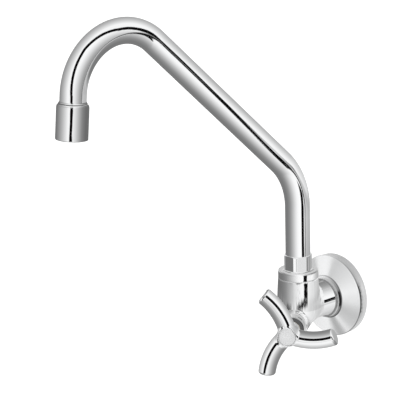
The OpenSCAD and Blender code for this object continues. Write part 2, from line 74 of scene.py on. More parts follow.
# %% Sizes and frames
WALL_GAP, HEADWORK_DROP, HEADWORK_TURN = 46.0, 11.0, math.radians(32)
SEAM_Z, COLLAR_TOP, NUT_TOP = 24.6, 31.3, 44.0
BODY_R, BARREL_TOP_R, BRANCH_R, BOSS_R, BOSS_REACH = 17.2, 16.2, 14.3, 10.9, 18.5
TUBE_R, TUBE_WALL, TUBE_FOOT = 10.0, 1.2, 41.0
RISER, LOWER_R, LOWER_A, SLANT = 39.0, 56.0, math.radians(47), 168.0
UPPER_R, UPPER_A, OUTLET_STRAIGHT, TUBE_SEAT = 45.0, math.radians(128), 4.5, 11.5
SPOUT_TURN = math.radians(5)

swivel = Matrix.Translation((0, -WALL_GAP, 0))
wall = Matrix.Rotation(math.pi / 2, 4, "X")
headwork = (Matrix.Translation((0, -WALL_GAP, -HEADWORK_DROP))
            @ Matrix.Rotation(HEADWORK_TURN, 4, "Z") @ Matrix.Rotation(math.pi / 2, 4, "X"))
spout_plane = swivel @ Matrix.Rotation(-math.pi / 2 - SPOUT_TURN, 4, "Z")
print("headwork axis:", [round(x, 3) for x in headwork.col[2][:3]])


# %% [markdown]
# ## The camera
#
# A long lens from a little above, off to the user's right, shows the whole spout.

# %% Camera
def place_in_scene(name, data):
    """A new object in the scene that shows the data."""
    thing = bpy.data.objects.new(name, data)
    bpy.context.scene.collection.objects.link(thing)
    return thing


def make_camera(lens, elevation, roll, turn, distance, target, aside, down):
    """Looks at target from the given angles; aside and down shift the view, in mm."""
    axes = (Matrix.Rotation(math.radians(turn), 3, "Z")
            @ Matrix.Rotation(math.radians(90 - elevation), 3, "X")
            @ Matrix.Rotation(math.radians(roll), 3, "Z"))
    place = (Vector(target) + axes @ Vector((-aside, down, distance))) * MM
    camera = place_in_scene("camera", bpy.data.cameras.new("camera"))
    camera.matrix_world = Matrix.Translation(place) @ axes.to_4x4()
    camera.data.lens, camera.data.sensor_width = lens, 36
    camera.data.clip_start, camera.data.clip_end = 0.05, 50
    bpy.context.scene.camera = camera
    return camera, place


camera, EYE = make_camera(lens=197.21, elevation=15.416, roll=-1.302, turn=46.15,
                          distance=1767.0, target=(0, -WALL_GAP, NUT_TOP), aside=78.97,
                          down=43.38)
print("camera at", [round(x, 3) for x in EYE])

# %% [markdown]
# ## Finishes
#
# Chrome plate mirrors the room, so most of its look is the room. What is its own is a
# slight haze that differs from place to place, and fine scratches from wiping. Both come
# from one group, which every metal here uses with its own values.


# %% Shader group for wiped metal
def group_with(name, inputs, outputs):
    tree = bpy.data.node_groups.new(name, "ShaderNodeTree")
    for label, value in inputs.items():
        socket = tree.interface.new_socket(label, in_out="INPUT", socket_type="NodeSocketFloat")
        socket.default_value = value
    for label, kind in outputs.items():
        tree.interface.new_socket(label, in_out="OUTPUT", socket_type=kind)
    return tree, tree.nodes.new("NodeGroupInput"), tree.nodes.new("NodeGroupOutput")


def add(tree, kind, **settings):
    """A new node; each setting is an attribute of it or the name of an input."""
    node = tree.nodes.new(kind)
    for key, value in settings.items():
        if hasattr(node, key):
            setattr(node, key, value)
        else:
            node.inputs[key.replace("_", " ")].default_value = value
    return node


def wire(tree, *links):
    """Joins nodes; each link names a node, its output, another node and its input."""
    for start, output, end, entry in links:
        tree.links.new(start.outputs[output], end.inputs[entry])


def new_material(name):
    """A material, its node tree and the shader that it starts with."""
    material = bpy.data.materials.new(name)
    material.use_nodes = True
    return material, material.node_tree, material.node_tree.nodes["Principled BSDF"]


def wiped_metal():
    tree, given, made = group_with(
        "wiped_metal",
        {"Polish": 0.04, "Haze": 0.05, "Haze Scale": 60.0, "Scratch Scale": 900.0,
         "Scratch Depth": 0.02},
        {"Roughness": "NodeSocketFloat", "Normal": "NodeSocketVector"})
    place = add(tree, "ShaderNodeTexCoord")
    haze = add(tree, "ShaderNodeTexNoise", Detail=4.0, Roughness=0.6)
    spread = add(tree, "ShaderNodeMapRange", From_Min=0.35, From_Max=0.75)
    extra = add(tree, "ShaderNodeMath", operation="MULTIPLY_ADD")
    stretch = add(tree, "ShaderNodeMapping", Scale=(1.0, 1.0, 0.06))
    scratch = add(tree, "ShaderNodeTexNoise", Detail=2.0)
    bump = add(tree, "ShaderNodeBump", Distance=0.0002)
    wire(tree, (place, "Object", haze, "Vector"), (given, "Haze Scale", haze, "Scale"),
         (haze, "Fac", spread, "Value"), (spread, "Result", extra, 0),
         (given, "Haze", extra, 1), (given, "Polish", extra, 2), (extra, 0, made, "Roughness"),
         (place, "Object", stretch, "Vector"), (stretch, "Vector", scratch, "Vector"),
         (given, "Scratch Scale", scratch, "Scale"), (scratch, "Fac", bump, "Height"),
         (given, "Scratch Depth", bump, "Strength"), (bump, "Normal", made, "Normal"))
    return tree


WIPED = wiped_metal()
print("group", WIPED.name, "with", len(WIPED.nodes), "nodes")


# %% Metals
def metal(name, colour, **values):
    material, tree, shader = new_material(name)
    shader.inputs["Base Color"].default_value = (*colour, 1)
    shader.inputs["Metallic"].default_value = 1.0
    wiped = tree.nodes.new("ShaderNodeGroup")
    wiped.node_tree = WIPED
    for label, value in values.items():
        wiped.inputs[label.replace("_", " ")].default_value = value
    wire(tree, (wiped, "Roughness", shader, "Roughness"), (wiped, "Normal", shader, "Normal"))
    return material


chrome = metal("polished_chrome", (0.90, 0.905, 0.91), Polish=0.03, Haze=0.03,
               Scratch_Depth=0.015)
flange_chrome = metal("flange_chrome", (0.88, 0.885, 0.89), Polish=0.06, Haze=0.06,
                      Scratch_Depth=0.03)
satin_chrome = metal("satin_chrome", (0.82, 0.825, 0.83), Polish=0.22, Haze=0.12,
                     Haze_Scale=400.0, Scratch_Depth=0.1)
brass = metal("brass", (0.74, 0.57, 0.27), Polish=0.16, Haze=0.1)
stainless = metal("stainless", (0.66, 0.67, 0.68), Polish=0.2, Haze=0.1)
print("metals made")


# %% [markdown]
# Rubber, moulded plastic and ceramic are not metals. Each gets a grain of its own scale:
# rubber is matt and slightly dusty, acetal is smooth with faint flow marks, and the
# lapped ceramic is almost even.

# %% Rubber, plastic and ceramic
def moulded(name, dark, light, rough, grain, depth):
    material, tree, shader = new_material(name)
    shader.inputs["Roughness"].default_value = rough
    place = add(tree, "ShaderNodeTexCoord")
    noise = add(tree, "ShaderNodeTexNoise", Scale=grain, Detail=3.0)
    tint = add(tree, "ShaderNodeMix", data_type="RGBA", A=(*dark, 1), B=(*light, 1))
    bump = add(tree, "ShaderNodeBump", Strength=depth, Distance=0.0001)
    wire(tree, (place, "Object", noise, "Vector"), (noise, "Fac", tint, "Factor"),
         (tint, "Result", shader, "Base Color"), (noise, "Fac", bump, "Height"),
         (bump, "Normal", shader, "Normal"))
    return material


rubber = moulded("black_rubber", (0.02, 0.02, 0.02), (0.05, 0.05, 0.05), 0.7, 900.0, 0.3)
acetal = moulded("white_acetal", (0.82, 0.82, 0.80), (0.90, 0.90, 0.88), 0.35, 300.0, 0.05)
ceramic = moulded("ceramic", (0.88, 0.86, 0.81), (0.92, 0.90, 0.86), 0.15, 600.0, 0.02)
print("rubber, acetal and ceramic made")

# %% [markdown]
# ## The hidden pieces
#
# What sits inside the tap keeps its exact CAD solid. It only needs its material.

# %% Materials of the CAD nodes
FINISH = {
    "black_rubber": rubber, "white_acetal": acetal, "ceramic": ceramic, "brass": brass,
    "stainless": stainless, "polished_chrome": chrome, "flange_chrome": flange_chrome,
    "satin_chrome": satin_chrome,
}
slots = {part["node"]: part["material_slot"] for part in frame["record"]["subparts"]}
for node, slot in slots.items():
    worn = frame["nodes"][node].data.materials
    worn.clear()
    worn.append(FINISH[slot])
print("materials on", len(slots), "nodes")


# %% [markdown]
# ## Making a piece
#
# Every made piece is a mesh in the shared frame, in metres, with its object at the
# origin. It rides on the body that its solid belongs to and stands for that solid.

# %% From points to a piece
def moved(points, place):
    """The points, given in the frame place, in the shared frame."""
    return points @ np.array(place.to_3x3()).T + np.array(place.translation)


def piece(name, points, faces, material, stands_for, body, place=Matrix.Identity(4)):
    """points are in mm in the frame place; faces index them."""
    mesh = bpy.data.meshes.new(name)
    mesh.from_pydata((moved(points, place) * MM).tolist(), [], faces)
    return finished(name, mesh, material, stands_for, body)


def finished(name, mesh, material, stands_for, body):
    work = bmesh.new()
    work.from_mesh(mesh)
    bmesh.ops.remove_doubles(work, verts=work.verts, dist=1e-7)
    if work.calc_volume(signed=True) < 0:
        bmesh.ops.reverse_faces(work, faces=work.faces)
    work.to_mesh(mesh)
    work.free()
    mesh.shade_smooth()
    mesh.materials.clear()
    mesh.materials.append(material)
    thing = place_in_scene(name, mesh)
    if stands_for:
        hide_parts(stands_for)
    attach(thing, body)
    print(f"{name}: {len(mesh.polygons)} faces")
    return thing


# %% [markdown]
# Turned pieces are outlines spun round an axis. A lathe tool never leaves a perfect
# corner, so each corner of an outline is given a radius.

# %% Turned pieces
SHARP = math.radians(40)


def rounded(outline):
    """A closed outline of (radius, height, corner radius) with its corners rounded."""
    made = []
    count = len(outline)
    for i, (x, y, r) in enumerate(outline):
        here = Vector((x, y))
        before = Vector(outline[i - 1][:2]) - here
        after = Vector(outline[(i + 1) % count][:2]) - here
        if r == 0 or before.length < 1e-9 or after.length < 1e-9:
            made.append((x, y))
            continue
        half = before.angle(after) / 2
        reach = min(r / math.tan(half), 0.49 * before.length, 0.49 * after.length)
        r = reach * math.tan(half)
        middle = here + (before.normalized() + after.normalized()).normalized() * r / math.sin(half)
        a = here + before.normalized() * reach - middle
        b = here + after.normalized() * reach - middle
        steps = max(2, int(math.degrees(a.angle(b)) / 9))
        sweep = a.angle_signed(b)
        made += [tuple(middle + Matrix.Rotation(-sweep * k / steps, 2) @ a)
                 for k in range(steps + 1)]
    return made


def turned(name, outline, material, stands_for, body, place, around=144):
    profile = np.array(rounded(outline))
    angle = np.linspace(0, 2 * np.pi, around, endpoint=False)
    rings = len(profile)
    points = np.stack([np.outer(np.cos(angle), profile[:, 0]),
                       np.outer(np.sin(angle), profile[:, 0]),
                       np.tile(profile[:, 1], (around, 1))], -1).reshape(-1, 3)
    number = np.arange(len(points)).reshape(around, rings)
    after = np.roll(number, -1, 0)
    faces = np.stack([number, after, np.roll(after, -1, 1), np.roll(number, -1, 1)], -1)
    thing = piece(name, points, faces.reshape(-1, 4).tolist(), material, stands_for, body, place)
    thing.data.set_sharp_from_angle(angle=SHARP)
    return thing


# %% [markdown]
# ### Collar, flange, shroud and button
#
# The collar closes the body above a seam line. The flange is pressed from sheet: a rim,
# a shallow cone and a short neck. The shroud hides the brass headwork behind the handle.

# %% Turned pieces of the tap
COLLAR_BORE, COLLAR_SPIGOT, COLLAR_FOOT = 12.05, 13.9, 18.4
turned("collar", [
    (COLLAR_BORE, COLLAR_FOOT, 0), (COLLAR_SPIGOT, COLLAR_FOOT, 0.2), (COLLAR_SPIGOT, SEAM_Z, 0),
    (15.9, SEAM_Z + 0.05, 0.1), (BARREL_TOP_R, 24.9, 0.15), (BARREL_TOP_R, 30.4, 0.5),
    (15.5, COLLAR_TOP, 0.4), (12.6, COLLAR_TOP, 0.2), (COLLAR_BORE, 30.9, 0.1)],
    chrome, "body_collar", "fixture", swivel)

FLANGE_R, FLANGE_NECK_R, FLANGE_BORE, FLANGE_REACH = 34.0, 16.4, 14.45, 17.4
turned("flange", [
    (32.3, 0, 0.1), (33.5, 0, 0.2), (FLANGE_R, 8.3, 0.7), (FLANGE_NECK_R, 13.3, 2.4),
    (FLANGE_NECK_R, FLANGE_REACH, 0.4), (FLANGE_BORE, FLANGE_REACH, 0.2),
    (FLANGE_BORE, 11.9, 0.1), (17.5, 11.7, 0.8), (32.2, 7.0, 0.8)],
    flange_chrome, "wall_flange", "fixture", wall)

SHROUD_R, SHROUD_FOOT, SHROUD_TOP = 9.6, 18.6, 26.0
turned("shroud", [
    (8.85, SHROUD_FOOT, 0), (SHROUD_R, SHROUD_FOOT, 0.1), (SHROUD_R, SHROUD_TOP, 0.8),
    (6.3, SHROUD_TOP, 0.1), (6.3, 24.6, 0), (8.85, 24.6, 0.2)],
    chrome, "headwork_shroud", "fixture", headwork)

BUTTON_R, BUTTON_TOP = 6.85, 49.0
dome = [(BUTTON_R * k / 8, BUTTON_TOP - (k / 8) ** 2, 0) for k in range(8)]
turned("button", dome + [(BUTTON_R, 47.95, 0.25), (BUTTON_R, 42.5, 0), (5.75, 42.5, 0),
                         (5.75, 45.8, 0), (0, 45.8, 0)],
       satin_chrome, "index_button", "handle_set", headwork)


# %% [markdown]
# ## The swan neck
#
# The spout is one tube bent twice. Geometry Nodes sweep a circle along its centre line,
# so the tube's diameter and fineness stay inputs of the tree. Its wall gets its
# thickness afterwards.

# %% The centre line
def centre_line(step=math.radians(1.5)):
    """Points of the spout's centre line in its own plane, from its foot to its end."""
    line = [(0.0, TUBE_FOOT), (0.0, NUT_TOP + RISER)]
    for radius, bend, straight in ((LOWER_R, LOWER_A, SLANT),
                                   (UPPER_R, UPPER_A, OUTLET_STRAIGHT + TUBE_SEAT)):
        (x0, z0), (x1, z1) = line[-2:]
        heading = math.atan2(x1 - x0, z1 - z0)
        middle = (x1 + radius * math.cos(heading), z1 - radius * math.sin(heading))
        for k in range(1, round(bend / step) + 1):
            a = heading + bend * k / round(bend / step)
            line.append((middle[0] - radius * math.cos(a), middle[1] + radius * math.sin(a)))
        a = heading + bend
        line.append((line[-1][0] + straight * math.sin(a), line[-1][1] + straight * math.cos(a)))
    return [spout_plane @ Vector((x, 0, z)) for x, z in line]


path = centre_line()
outlet_z = (path[-1] - path[-2]).normalized()
outlet_top = path[-1] - outlet_z * TUBE_SEAT
across = spout_plane.to_3x3() @ Vector((0, 1, 0))
outlet = Matrix.Translation(outlet_top) @ Matrix(
    (outlet_z.cross(across) * -1, across, outlet_z)).transposed().to_4x4()
print("spout path of", len(path), "points, outlet at", [round(x, 1) for x in outlet_top])


# %% Sweeping the tube
def node_tree(name, inputs):
    tree = bpy.data.node_groups.new(name, "GeometryNodeTree")
    tree.interface.new_socket("Geometry", in_out="INPUT", socket_type="NodeSocketGeometry")
    tree.interface.new_socket("Geometry", in_out="OUTPUT", socket_type="NodeSocketGeometry")
    for label, kind in inputs.items():
        tree.interface.new_socket(label, in_out="INPUT", socket_type=kind)
    return tree, tree.nodes.new("NodeGroupInput"), tree.nodes.new("NodeGroupOutput")


def end_with_sweep(tree, given, made, curve, profile, caps):
    """Ends a tree: profile is swept along curve, made real and given its material."""
    sweep = add(tree, "GeometryNodeCurveToMesh", Fill_Caps=caps)
    real = add(tree, "GeometryNodeRealizeInstances")
    coat = add(tree, "GeometryNodeSetMaterial")
    wire(tree, (curve, "Curve", sweep, "Curve"), (profile, "Curve", sweep, "Profile Curve"),
         (sweep, "Mesh", real, "Geometry"), (real, "Geometry", coat, "Geometry"),
         (given, "Material", coat, "Material"), (coat, "Geometry", made, "Geometry"))


def grown_mesh(thing):
    """A plain mesh of the object as its modifiers make it."""
    bpy.context.view_layer.update()
    grown = thing.evaluated_get(bpy.context.evaluated_depsgraph_get())
    return bpy.data.meshes.new_from_object(grown)


def run_tree(tree, mesh, values):
    """The plain mesh that the tree makes from mesh with these input values."""
    host = place_in_scene("host", mesh)
    modifier = host.modifiers.new("tree", "NODES")
    modifier.node_group = tree
    for item in tree.interface.items_tree:
        if item.in_out == "INPUT" and item.name in values:
            modifier[item.identifier] = values[item.name]
    host.update_tag()
    made = grown_mesh(host)
    bpy.data.objects.remove(host)
    return made


def tube_tree():
    tree, given, made = node_tree("swept_tube", {
        "Diameter": "NodeSocketFloat", "Around": "NodeSocketInt",
        "Material": "NodeSocketMaterial"})
    curve = add(tree, "GeometryNodeMeshToCurve")
    half = add(tree, "ShaderNodeMath", operation="MULTIPLY")
    half.inputs[1].default_value = 0.5
    circle = add(tree, "GeometryNodeCurvePrimitiveCircle")
    wire(tree, (given, "Geometry", curve, "Mesh"), (given, "Diameter", half, 0),
         (half, 0, circle, "Radius"), (given, "Around", circle, "Resolution"))
    end_with_sweep(tree, given, made, curve, circle, caps=False)
    return tree


def swept(name, line, diameter, wall_t, material, stands_for, body, around=96):
    mesh = bpy.data.meshes.new(name + "_line")
    mesh.from_pydata([p * MM for p in line], [(i, i + 1) for i in range(len(line) - 1)], [])
    skin = run_tree(tube_tree(), mesh, {
        "Diameter": diameter * MM, "Around": around, "Material": material})
    work = bmesh.new()
    work.from_mesh(skin)
    bmesh.ops.recalc_face_normals(work, faces=work.faces)
    sample = work.faces[len(work.faces) // 2]
    near = min(line, key=lambda p: (p * MM - sample.calc_center_median()).length)
    if sample.normal.dot(sample.calc_center_median() - near * MM) < 0:
        bmesh.ops.reverse_faces(work, faces=work.faces)
    work.to_mesh(skin)
    work.free()
    shell = place_in_scene(name + "_skin", skin)
    solid = shell.modifiers.new("wall", "SOLIDIFY")
    solid.thickness, solid.offset = wall_t * MM, -1
    thick = grown_mesh(shell)
    bpy.data.objects.remove(shell)
    return finished(name, thick, material, stands_for, body)


swan_neck = swept("swan_neck", path, 2 * TUBE_R, TUBE_WALL, chrome, "spout_tube", "spout")
swan_neck.data.set_sharp_from_angle(angle=SHARP)

# %% [markdown]
# ### The outlet shell
#
# The shell is turned and brazed on. It flares out from the tube, meets its own straight
# wall at a fine line, and ends in a rounded lip.

# %% Outlet shell
SHELL_R, SHELL_SEAT, SHELL_BORE, SHELL_LENGTH = 12.2, 10.02, 10.8, 28.5
turned("outlet_sleeve", [
    (SHELL_SEAT, TUBE_SEAT, 0), (SHELL_SEAT, 0.05, 0), (10.1, 0, 0.02), (10.3, 0.6, 0.8),
    (10.85, 1.15, 0.1), (10.5, 1.85, 0.03), (11.0, 1.9, 0.05), (11.9, 2.6, 1.2),
    (SHELL_R, 4.4, 1.2), (SHELL_R, SHELL_LENGTH, 1.6), (SHELL_BORE, SHELL_LENGTH, 0.3),
    (SHELL_BORE, 13.0, 0), (8.8, 13.0, 0), (8.8, TUBE_SEAT, 0)],
    chrome, "outlet_shell", "spout", outlet)


# %% [markdown]
# ## Cast and forged pieces
#
# The body is a casting: its barrel, inlet branch and boss flow into each other. Such a
# form is easiest to write as a distance field, where a smooth minimum joins two shapes
# with a fillet. The skin of the field is then found on a fine grid, and every point of
# it is moved onto the exact surface, so that the reflections stay clean.

# %% Distance fields
def smooth_min(a, b, k):
    h = np.clip(k - np.abs(a - b), 0, None) / k
    return np.minimum(a, b) - h * h * k / 4


def smooth_max(a, b, k):
    return -smooth_min(-a, -b, k)


def round_cut(a, b, r):
    """a cut by b, where their edge gets the radius r."""
    u, v = np.clip(a + r, 0, None), np.clip(b + r, 0, None)
    return np.minimum(np.maximum(a, b), -r) + np.sqrt(u * u + v * v)


def seen_from(points, place):
    """The points, given in the shared frame, in the frame place."""
    return moved(points, place.inverted())


def from_axis(q):
    """Distance from the local z axis."""
    return np.hypot(q[:, 0], q[:, 1])


def rod(q, radius, low, high, edge=0.0):
    """A cylinder round the local z axis."""
    side = from_axis(q) - radius
    ends = np.maximum(q[:, 2] - high, low - q[:, 2])
    return round_cut(side, ends, edge) if edge else np.maximum(side, ends)


def slope_of(field, points, eps):
    """How fast the field grows along each axis."""
    rise = np.stack([field(points + d) - field(points - d) for d in np.eye(3) * eps], -1)
    return rise / (2 * eps)


def settle(points, field, limit, rounds=5):
    """Moves each point onto the surface of the field."""
    for _ in range(rounds):
        slope = slope_of(field, points, 0.01)
        size = np.clip((slope * slope).sum(1), 0.05, None)
        move = -(field(points) / size)[:, None] * slope
        length = np.linalg.norm(move, axis=1, keepdims=True)
        points = points + move * np.minimum(1, limit / np.maximum(length, 1e-9))
    return points


def skin_of(field, low, high, step):
    """Points and four-sided faces of the surface where the field is zero."""
    axes = [np.arange(a, b + step, step) for a, b in zip(low, high)]
    grid = np.stack(np.meshgrid(*axes, indexing="ij"), -1)
    shape = grid.shape[:3]
    value = field(grid.reshape(-1, 3)).reshape(shape)
    cells = tuple(n - 1 for n in shape)
    total, weight = np.zeros(cells + (3,)), np.zeros(cells)

    def part(array, shift):
        return array[tuple(slice(s, s + n) for s, n in zip(shift, cells))]

    for axis in range(3):
        along = np.arange(3) == axis
        for start in np.ndindex(*np.where(along, 1, 2)):
            end = np.where(along, 1, start)
            a, b = part(value, start), part(value, end)
            cut = (a < 0) != (b < 0)
            t = np.where(cut, a / np.where(cut, a - b, 1), 0)[..., None]
            at = part(grid, start) * (1 - t) + part(grid, end) * t
            total += np.where(cut[..., None], at, 0)
            weight += cut
    busy = weight > 0
    number = np.full(cells, -1)
    number[busy] = np.arange(busy.sum())
    points = total[busy] / weight[busy][:, None]
    faces = []
    inside = value < 0
    for axis in range(3):
        u, v = np.roll(np.eye(3, dtype=int), -axis, 0)[1:]
        index = np.argwhere(inside != np.roll(inside, -1, axis))
        index = index[((index >= u + v) & (index < cells)).all(1)]
        quads = np.stack([number[tuple((index - du * u - dv * v).T)]
                          for du, dv in ((1, 1), (0, 1), (0, 0), (1, 0))], -1)
        flip = ~inside[tuple(index.T)]
        quads[flip] = quads[flip][:, ::-1]
        faces.append(quads)
    return settle(points, field, step), np.concatenate(faces).tolist()


def cast(name, field, low, high, step, material, stands_for, body):
    points, faces = skin_of(field, low, high, step)
    return piece(name, points, faces, material, stands_for, body)


# %% The valve body
BRANCH_FILLET, BOSS_FILLET, BOSS_FOOT = 4.0, 2.0, -4.0
THREAD_NECK_R, THREAD_CORE_R, INLET_END = 9.88, 9.45, -15.9
GROOVE_AT, GROOVE_HALF, GROOVE_FLOOR_R = 14.8, 0.9, 13.1
WATERWAY_R, SWIVEL_R, COLLAR_SEAT_R, HEADWORK_SEAT_R, PORT_R = 6.5, 10.95, 14.0, 8.35, 4.0


def barrel(p):
    q = seen_from(p, swivel)
    r, z = from_axis(q), q[:, 2]
    wall_r = BODY_R - (BODY_R - BARREL_TOP_R) * np.clip(z / SEAM_Z, 0, 1) ** 2
    side = np.where(z > 0, r - wall_r, np.hypot(r, z) - BODY_R)
    return round_cut(side, z - SEAM_Z + 0.1, 0.3)


def body_field(p):
    up, out, boss = (seen_from(p, m) for m in (swivel, wall, headwork))
    branch = rod(out, BRANCH_R, 11.0, WALL_GAP, 0.6)
    solid = smooth_min(barrel(p), branch, BRANCH_FILLET)
    lug = np.maximum(rod(boss, BOSS_R, BOSS_FOOT, BOSS_REACH, 0.7), BOSS_FOOT - boss[:, 2])
    solid = smooth_min(solid, lug, BOSS_FILLET)
    past_boss = np.minimum(boss[:, 2] - BOSS_REACH, BOSS_R + 0.5 - from_axis(boss))
    solid = np.maximum(solid, past_boss)
    neck = rod(out, THREAD_NECK_R, -1.0, 14.0)
    core = rod(out, THREAD_CORE_R, INLET_END, 2.0, 0.5)
    solid = np.minimum(solid, np.minimum(neck, core))
    groove = np.maximum(np.abs(out[:, 2] - GROOVE_AT) - GROOVE_HALF,
                        GROOVE_FLOOR_R - from_axis(out))
    solid = np.maximum(solid, -groove)
    for q, radius, low, high in ((out, WATERWAY_R, -30, 38), (up, SWIVEL_R, 9, 60),
                                 (up, COLLAR_SEAT_R, 17.5, 60),
                                 (boss, HEADWORK_SEAT_R, 4, 60), (boss, PORT_R, -6, 5)):
        solid = np.maximum(solid, -rod(q, radius, low, high))
    return solid


cast("tap_body", body_field, (-18.5, -67, -24), (21, 17, 26), 0.5, chrome,
     "valve_body", "fixture")


# %% [markdown]
# ### The inlet thread
#
# A pipe thread is cut as one long ridge. Geometry Nodes sweep a small triangle along a
# spiral, with the number of turns, the radius and the height of the ridge as inputs.

# %% Thread ridge
def thread_tree():
    tree, given, made = node_tree("thread_ridge", {
        "Turns": "NodeSocketFloat", "Radius": "NodeSocketFloat", "Length": "NodeSocketFloat",
        "Ridge": "NodeSocketFloat", "Material": "NodeSocketMaterial"})
    spiral = add(tree, "GeometryNodeCurveSpiral", Resolution=96)
    upright = add(tree, "GeometryNodeSetCurveNormal", mode="Z_UP")
    ridge = add(tree, "GeometryNodeCurvePrimitiveCircle", Resolution=3)
    wire(tree, (given, "Turns", spiral, "Rotations"), (given, "Radius", spiral, "Start Radius"),
         (given, "Radius", spiral, "End Radius"), (given, "Length", spiral, "Height"),
         (spiral, "Curve", upright, "Curve"), (given, "Ridge", ridge, "Radius"))
    end_with_sweep(tree, given, made, upright, ridge, caps=True)
    return tree


THREAD_PITCH, THREAD_LENGTH, THREAD_START = 1.814, 14.0, -15.2
THREAD_MIDDLE_R, RIDGE_R = 9.72, 0.68
ridge = run_tree(thread_tree(), bpy.data.meshes.new("thread_seed"), {
    "Turns": THREAD_LENGTH / THREAD_PITCH, "Radius": THREAD_MIDDLE_R * MM,
    "Length": THREAD_LENGTH * MM, "Ridge": RIDGE_R * MM, "Material": chrome})
ridge.transform(Matrix.Scale(MM, 4) @ wall @ Matrix.Translation((0, 0, THREAD_START))
                @ Matrix.Scale(1 / MM, 4))
reach = [math.hypot(v.co.x, v.co.z) / MM for v in ridge.vertices]
finished("inlet_thread", ridge, chrome, None, "fixture")
ridge.set_sharp_from_angle(angle=SHARP)
print("thread from radius", round(min(reach), 2), "to", round(max(reach), 2))


# %% [markdown]
# ### The nut
#
# The spout nut is a hexagon whose corners a lathe has turned off at both ends.

# %% Spout nut
NUT_FLAT_R, NUT_CORNER_R, NUT_BORE, NUT_MOUTH, NUT_THREAD_R = 10.6, 11.45, 9.1, 10.1, 11.9


def nut_field(p):
    q = seen_from(p, swivel)
    r, z = from_axis(q), q[:, 2]
    flats = np.full(len(q), -1e9)
    for k in range(3):
        a = math.radians(60 * k + 30)
        across_flats = np.abs(q[:, 0] * math.cos(a) + q[:, 1] * math.sin(a))
        flats = smooth_max(flats, across_flats - NUT_FLAT_R, 1.1)
    solid = smooth_max(flats, r - NUT_CORNER_R, 0.4)
    for end, sign in ((NUT_TOP, 1), (COLLAR_TOP, -1)):
        solid = smooth_max(solid, (r - 10.75 + (z - end) * sign * 1.7) / 1.97, 0.2)
        solid = smooth_max(solid, (z - end) * sign, 0.3)
    solid = np.minimum(solid, rod(q, NUT_THREAD_R, 23.8, COLLAR_TOP + 0.4))
    solid = np.maximum(solid, -rod(q, NUT_BORE, 0, 60))
    return np.maximum(solid, -rod(q, NUT_MOUTH, 40.5, 60))


cast("spout_nut_hex", nut_field, (-12.4, -58.4, 23.2), (12.4, -33.6, 44.6), 0.3, chrome,
     "spout_nut", "fixture")


# %% [markdown]
# ### The handle
#
# Three round arms sweep out of a turned hub, each with the same curve. Their flat ends
# have a polished radius. A recess in front takes the button.

# %% Handle
ARM_PLANE, ARM_R, ARM_REACH, ARM_CURVE, ARM_EDGE = 42.0, 7.0, 38.0, 51.0, 2.2
HALF_SWEEP = math.asin(ARM_REACH / 2 / ARM_CURVE)
ARM_TURNS = [math.radians(2 + 120 * n) for n in range(3)]
HUB_LOW, HUB_TOP, HUB_R, HUB_SWELL = 27.5, 48.0, 6.6, 1.6
RECESS_FLOOR, SCREW_R, SPINDLE_R, SPINDLE_TOP = 42.3, 2.05, 3.95, 40.8


def arm(q, turn):
    c, s = math.cos(turn), math.sin(turn)
    a, b = q[:, 0] * c + q[:, 1] * s, q[:, 1] * c - q[:, 0] * s
    ch, sh = math.cos(HALF_SWEEP), math.sin(HALF_SWEEP)
    ring = np.hypot(a - ARM_REACH / 2, b - ARM_CURVE * ch) - ARM_CURVE
    round_bar = np.hypot(ring, q[:, 2] - ARM_PLANE) - ARM_R
    past_end = (a - ARM_REACH) * ch + b * sh
    before_start = -(a * ch - b * sh)
    return np.maximum(round_cut(round_bar, past_end, ARM_EDGE), before_start)


def handle_field(p):
    q = seen_from(p, headwork)
    r, s = from_axis(q), q[:, 2]
    t = np.clip((s - 29.5) / 6.5, 0, 1)
    hub_r = HUB_R + HUB_SWELL * t * t * (3 - 2 * t)
    hub = round_cut(r - hub_r, np.maximum(s - HUB_TOP, HUB_LOW - s), 0.5)
    arms = [arm(q, turn) for turn in ARM_TURNS]
    solid = smooth_min(smooth_min(arms[0], arms[1], 1.5), arms[2], 1.5)
    solid = smooth_min(solid, hub, 2.0)
    solid = round_cut(solid, -rod(q, BUTTON_R + 0.1, RECESS_FLOOR, 80), 0.35)
    solid = np.maximum(solid, -rod(q, SCREW_R, 30, 60))
    return np.maximum(solid, -rod(q, SPINDLE_R, 20, SPINDLE_TOP))


corner = np.array([headwork @ Vector((x, y, z)) for x in (-46, 46) for y in (-46, 46)
                   for z in (27, 50)])
cast("handle_arms", handle_field, corner.min(0), corner.max(0), 0.5, chrome, "handle",
     "handle_set")


# %% [markdown]
# ## The studio
#
# The backdrop and the floor are white, and a plain even light falls on everything. Chrome
# has no colour of its own, so it also needs something to mirror. A photographer hangs
# white and grey cloth round the work and one dark strip beside the lens, and often takes
# one exposure for each part of it. Here that is a wide sphere of cloth, the surround,
# which only mirrors see, with a cloth of its own for each of the main pieces.

# %% World
def make_world(light=0.85):
    """White where a camera or a mirror looks, and a plain even light for the rest."""
    world = bpy.data.worlds.new("studio")
    world.use_nodes = True
    bpy.context.scene.world = world
    tree = world.node_tree
    tree.nodes.clear()
    room = add(tree, "ShaderNodeBackground", Strength=light, Color=(1, 1, 1, 1))
    white = add(tree, "ShaderNodeBackground", Strength=1.0, Color=(1, 1, 1, 1))
    ray = add(tree, "ShaderNodeLightPath")
    first, either = (add(tree, "ShaderNodeMath", operation="MAXIMUM") for _ in range(2))
    mix = add(tree, "ShaderNodeMixShader")
    out = add(tree, "ShaderNodeOutputWorld")
    wire(tree, (ray, "Is Camera Ray", first, 0), (ray, "Is Glossy Ray", first, 1),
         (first, 0, either, 0), (ray, "Is Transmission Ray", either, 1), (either, 0, mix, 0),
         (room, 0, mix, 1), (white, 0, mix, 2), (mix, 0, out, 0))


make_world()


